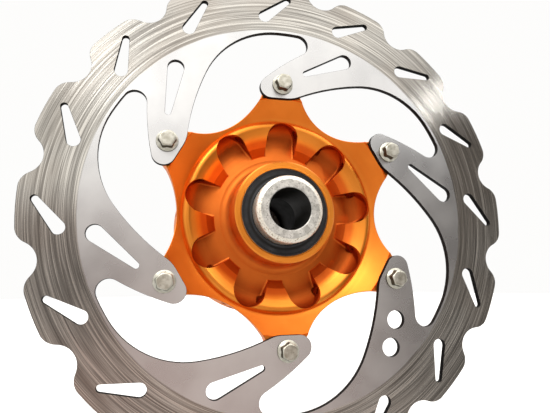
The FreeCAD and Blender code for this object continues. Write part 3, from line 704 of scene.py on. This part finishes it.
def floor():
    """A pale floor at the disc's lowest point, hidden from the steel's reflections."""
    mesh = bpy.data.meshes.new("floor")
    height = cad_box[0][2]
    corners = [(-FLOOR_HALF_WIDTH, FLOOR_FRONT, height), (FLOOR_HALF_WIDTH, FLOOR_FRONT, height),
               (FLOOR_HALF_WIDTH, FLOOR_BACK, height), (-FLOOR_HALF_WIDTH, FLOOR_BACK, height)]
    mesh.from_pydata(corners, [], [(0, 1, 2, 3)])
    plane = bpy.data.objects.new("floor", mesh)
    bpy.context.scene.collection.objects.link(plane)
    s = Shader("floor", {"Roughness": 0.9, "Specular IOR Level": 0.1})
    s.drive("Base Color", s.mix(s.noise(s.place(), scale=3.0), FLOOR_DARK, FLOOR_LIGHT))
    mesh.materials.append(s.material)
    plane.visible_glossy = False


# The world's directions have X to the right, Y away from the camera and Z up. A pair is where a
# change of colour starts and where it ends.
ROOM_BACK = rgb(0.92, 0.91, 0.90)
ROOM_AHEAD = (-0.60, -0.34)
ROOM_DARK = rgb(0.085, 0.080, 0.074)
ROOM_BROWN = rgb(0.52, 0.345, 0.30)
ROOM_BROWN_WAY = (0.03, -0.987, -0.15)
ROOM_BROWN_SPREAD = (0.87, 0.985)
ROOM_LEFT = rgb(0.86, 0.82, 0.78)
ROOM_LEFT_END = (-0.44, -0.27)
ROOM_SPOT_WAY = (-0.19, -0.98, 0.0)
ROOM_SPOT_SPREAD = (0.985, 0.996)
ROOM_GLOW = rgb(0.76, 0.68, 0.62)
ROOM_GLOW_WAY = (0.20, -0.978, 0.05)
ROOM_GLOW_SPREAD = (0.955, 0.992)
ROOM_TABLE = rgb(0.86, 0.84, 0.80)
ROOM_TABLE_TOP = (-0.50, -0.34)
ROOM_WINDOW = rgb(1.22, 1.19, 1.14)
WINDOW_SILL = (0.12, 0.22)
WINDOW_SIDE_LEAN = -0.85
WINDOW_SIDE = (-0.10, 0.05)
ROOM_SKY = rgb(2.30, 2.26, 2.20)
SKY_IN_WINDOW = (0.42, 0.78)
SKY_BEHIND = (0.45, 0.85)
ROOM_SEEN = rgb(0.985, 0.98, 0.97)


def room():
    """What the steel reflects: pale behind, a bright window up on the left in front, dark below it
    and to the right. The camera itself sees plain white."""
    world = bpy.data.worlds.new("studio")
    world.use_nodes = True
    bpy.context.scene.world = world
    s = Shader.of_tree(world.node_tree)
    way = s.node("ShaderNodeTexCoord").outputs["Generated"]
    x, y, z = s.parts(way)

    def towards(direction, spread):
        return s.ramp(s.vector("DOT_PRODUCT", way, direction, "Value"), *spread)

    dark = s.mix(towards(ROOM_BROWN_WAY, ROOM_BROWN_SPREAD), ROOM_DARK, ROOM_BROWN)
    dark = s.mix(s.fade(x, *ROOM_LEFT_END), dark, ROOM_LEFT)
    dark = s.mix(towards(ROOM_SPOT_WAY, ROOM_SPOT_SPREAD), dark, ROOM_DARK)
    dark = s.mix(towards(ROOM_GLOW_WAY, ROOM_GLOW_SPREAD), dark, ROOM_GLOW)
    dark = s.mix(s.fade(z, *ROOM_TABLE_TOP), dark, ROOM_TABLE)
    window = s.mix(s.ramp(z, *SKY_IN_WINDOW), ROOM_WINDOW, ROOM_SKY)
    beside = s.ramp(s.add(z, s.times(x, WINDOW_SIDE_LEAN)), *WINDOW_SIDE)
    ahead = s.mix(s.times(s.ramp(z, *WINDOW_SILL), beside), dark, window)
    behind = s.mix(s.ramp(z, *SKY_BEHIND), ROOM_BACK, ROOM_SKY)
    colour = s.mix(s.ramp(y, *ROOM_AHEAD), ahead, behind)

    lit = s.node("ShaderNodeBackground", {"Color": colour})
    seen = s.node("ShaderNodeBackground", {"Color": ROOM_SEEN})
    direct = s.node("ShaderNodeLightPath").outputs["Is Camera Ray"]
    pick = s.node("ShaderNodeMixShader", {0: direct, 1: lit.outputs[0], 2: seen.outputs[0]})
    s.node("ShaderNodeOutputWorld", {"Surface": pick.outputs[0]})


LIGHTS = {
    "key": {"place": (-0.55, -0.92, 0.92), "size": 0.50, "power": 4.5},
    "spark": {"place": (1.02, -1.01, 0.71), "size": 0.12, "power": 1.2},
}


def soft_light(name, place, size, power):
    """Square soft light at a place, aimed at the disc's centre."""
    light = bpy.data.lights.new(name, "AREA")
    light.shape = "SQUARE"
    light.size = size
    light.energy = power
    lamp = bpy.data.objects.new(name, light)
    lamp.location = place
    lamp.rotation_euler = (-Vector(place)).to_track_quat("-Z", "Y").to_euler()
    bpy.context.scene.collection.objects.link(lamp)


CAMERA_PLACE = (-0.0644, -0.2459, -0.0392)
CAMERA_TURN_DEG = (99.53, 0.98, -13.47)
CAMERA_LENS = 31.53
CAMERA_SENSOR = 36.0
CAMERA_NEAR = 0.005


def camera():
    data = bpy.data.cameras.new("camera")
    data.sensor_width = CAMERA_SENSOR
    data.lens = CAMERA_LENS
    data.clip_start = CAMERA_NEAR
    view = bpy.data.objects.new("camera", data)
    view.location = CAMERA_PLACE
    view.rotation_euler = [math.radians(angle) for angle in CAMERA_TURN_DEG]
    bpy.context.scene.collection.objects.link(view)
    bpy.context.scene.camera = view


paint_nodes()
bolts()
garter_springs()
floor()
room()
for light_name, settings in LIGHTS.items():
    soft_light(light_name, **settings)
camera()
bpy.context.scene.view_settings.view_transform = "Standard"
